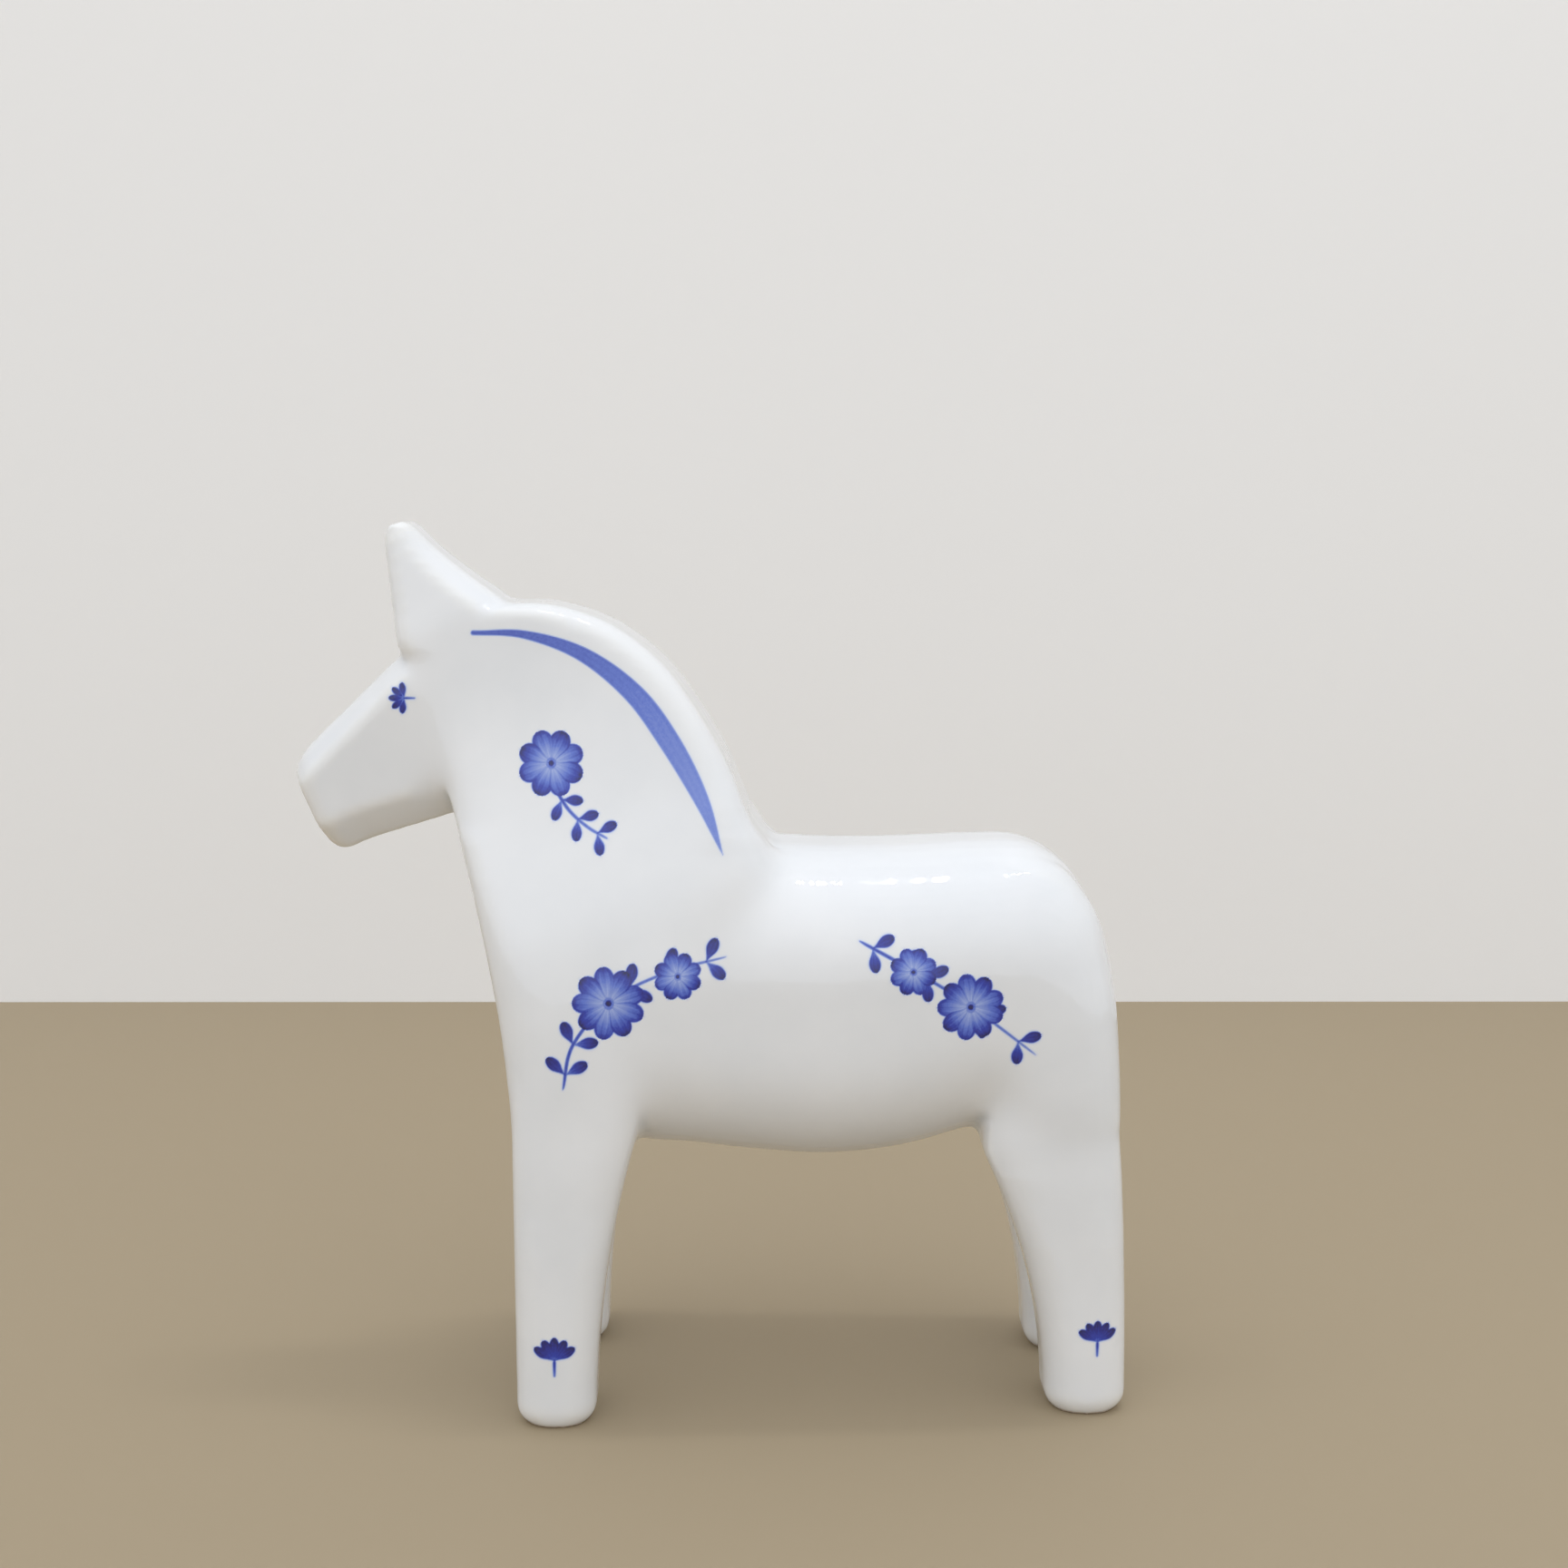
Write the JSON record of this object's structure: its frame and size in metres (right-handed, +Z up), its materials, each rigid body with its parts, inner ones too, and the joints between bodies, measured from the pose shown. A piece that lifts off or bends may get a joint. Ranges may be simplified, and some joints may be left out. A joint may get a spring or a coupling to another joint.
{
  "type": "porcelain dala horse figurine",
  "caption": "Free-standing glazed porcelain horse figurine with a block ear, arched neck and straight legs, painted with cobalt blue flower sprays.",
  "frame": {"origin": "on the floor, under the middle of the horse's bounding box", "axes": "+Z up, nose towards -X, the horse's left side towards -Y"},
  "size_m": [0.2076, 0.0796, 0.22],
  "materials": {
    "porcelain_glaze": "clear high-gloss glaze over cool white porcelain",
    "cobalt_underglaze": "cobalt blue brushwork under the same gloss glaze",
    "bare_porcelain": "unglazed, wiped and fired, matte",
    "joint_slip": "fired casting slip, matte"
  },
  "bodies": {
    "root": {"trunk_casting": "porcelain_glaze", "neck_head_casting": "porcelain_glaze", "neck_slip_joint": "joint_slip", "leg_front_left_casting": "porcelain_glaze", "leg_front_left_slip_joint": "joint_slip", "leg_front_right_casting": "porcelain_glaze", "leg_front_right_slip_joint": "joint_slip", "leg_hind_left_casting": "porcelain_glaze", "leg_hind_left_slip_joint": "joint_slip", "leg_hind_right_casting": "porcelain_glaze", "leg_hind_right_slip_joint": "joint_slip"}
  },
  "joints": []
}
